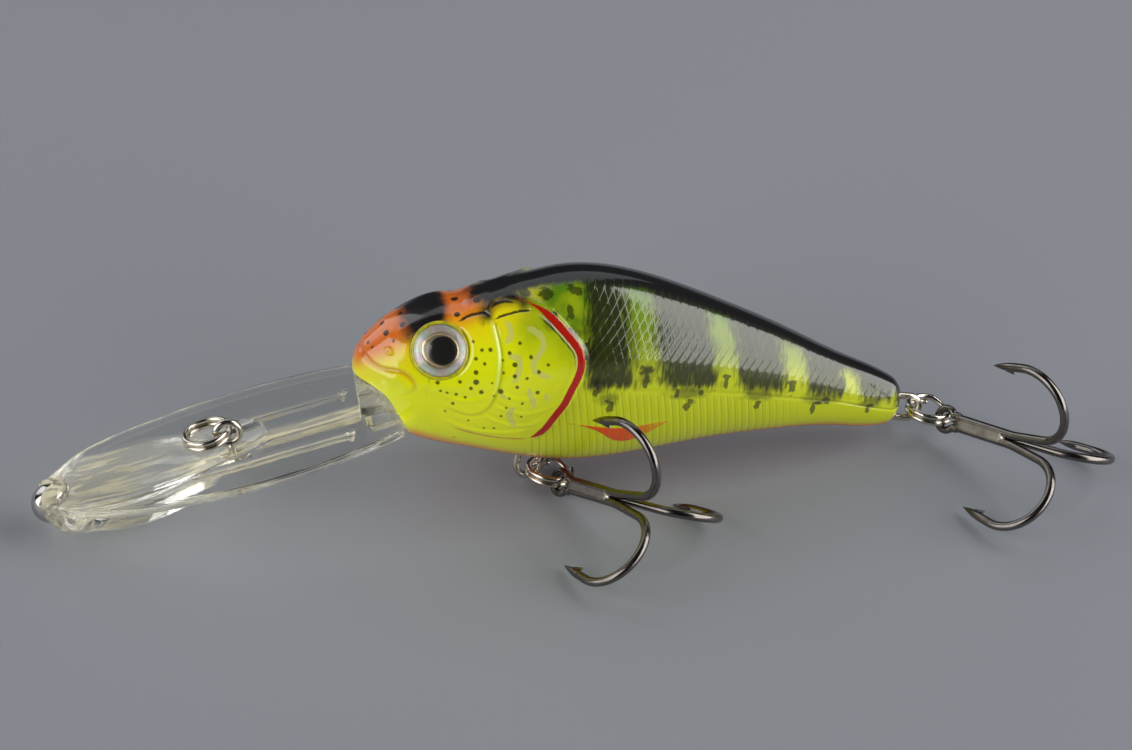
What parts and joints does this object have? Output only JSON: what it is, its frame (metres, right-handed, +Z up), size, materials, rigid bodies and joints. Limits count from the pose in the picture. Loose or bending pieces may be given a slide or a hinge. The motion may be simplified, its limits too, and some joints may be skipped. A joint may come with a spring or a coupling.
{
  "type": "crankbait lure",
  "caption": "Hollow fish-shaped diving lure with a long clear bill, domed eyes, wire hangers, split rings and barbed treble hooks, lying on a flat surface.",
  "frame": {"origin": "centre of the line-tie eyelet's hole, in the middle plane of the lure", "axes": "+X towards the tail, +Z up from the flat surface that the lure lies on; the lure's own middle plane leans 10.9 degrees about X with its back towards +Y, and its tail drops 11.9 degrees about Y"},
  "size_m": [0.1342, 0.0367, 0.0289],
  "materials": {
    "painted_body": "clear-coated airbrushed paint on moulded plastic",
    "clear_plastic": "clear moulded polycarbonate",
    "polished_steel": "polished ball",
    "nickel_wire": "nickel-plated wire",
    "dark_nickel": "black-nickel plating",
    "eye_foil": "silver foil",
    "eye_pupil": "gloss black",
    "clear_lens": "clear resin dome",
    "cast_weight": "plain metal slug"
  },
  "bodies": {
    "lure_body": {"shell_left": "painted_body", "shell_right": "painted_body", "diving_bill": "clear_plastic", "bill_tip_ball": "polished_steel", "line_tie_wire": "nickel_wire", "belly_hanger": "nickel_wire", "tail_hanger": "nickel_wire", "eye_foil_left": "eye_foil", "eye_foil_right": "eye_foil", "eye_pupil_left": "eye_pupil", "eye_pupil_right": "eye_pupil", "eye_lens_left": "clear_lens", "eye_lens_right": "clear_lens", "ballast_weight": "cast_weight"},
    "line_tie_ring": {"line_tie_ring": "nickel_wire"},
    "belly_ring": {"belly_ring": "nickel_wire"},
    "belly_treble": {"belly_treble_double": "dark_nickel", "belly_treble_single": "dark_nickel"},
    "tail_ring": {"tail_ring": "nickel_wire"},
    "tail_treble": {"tail_treble_double": "dark_nickel", "tail_treble_single": "dark_nickel"},
    "rattle_front": {"rattle_ball_front": "polished_steel"},
    "rattle_middle": {"rattle_ball_middle": "polished_steel"},
    "rattle_rear": {"rattle_ball_rear": "polished_steel"}
  },
  "joints": [
    {"name": "line_tie_ring_swing", "type": "hinge", "parent": "lure_body", "child": "line_tie_ring", "pos_m": [0.00002, -0.00002, -0.0001], "axis": [0.4254, 0.9018, -0.0754], "range_deg": [0, 110]},
    {"name": "belly_ring_swing", "type": "hinge", "parent": "lure_body", "child": "belly_ring", "pos_m": [0.037, -0.0003, -0.00938], "axis": [0.298, 0.9227, -0.2444], "range_deg": [-4, 40]},
    {"name": "belly_treble_swing", "type": "hinge", "parent": "belly_ring", "child": "belly_treble", "pos_m": [0.04069, -0.00381, -0.00947], "axis": [0.8995, 0.3519, -0.2588], "range_deg": [-4, 60]},
    {"name": "tail_ring_swing", "type": "hinge", "parent": "lure_body", "child": "tail_ring", "pos_m": [0.08583, 0.00204, -0.00728], "axis": [-0.039, 0.982, -0.185], "range_deg": [-40, 60]},
    {"name": "tail_treble_swing", "type": "hinge", "parent": "tail_ring", "child": "tail_treble", "pos_m": [0.09027, -0.00019, -0.00777], "axis": [0.7687, 0.5772, -0.2756], "range_deg": [-35, 60]},
    {"name": "rattle_front_roll", "type": "slide", "parent": "lure_body", "child": "rattle_front", "axis": [0.9785, 0, -0.2062], "range_m": [0, 0.0014]},
    {"name": "rattle_middle_roll", "type": "slide", "parent": "lure_body", "child": "rattle_middle", "axis": [0.9785, 0, -0.2062], "range_m": [-0.0014, 0.0014]},
    {"name": "rattle_rear_roll", "type": "slide", "parent": "lure_body", "child": "rattle_rear", "axis": [0.9785, 0, -0.2062], "range_m": [-0.0014, 0]}
  ]
}
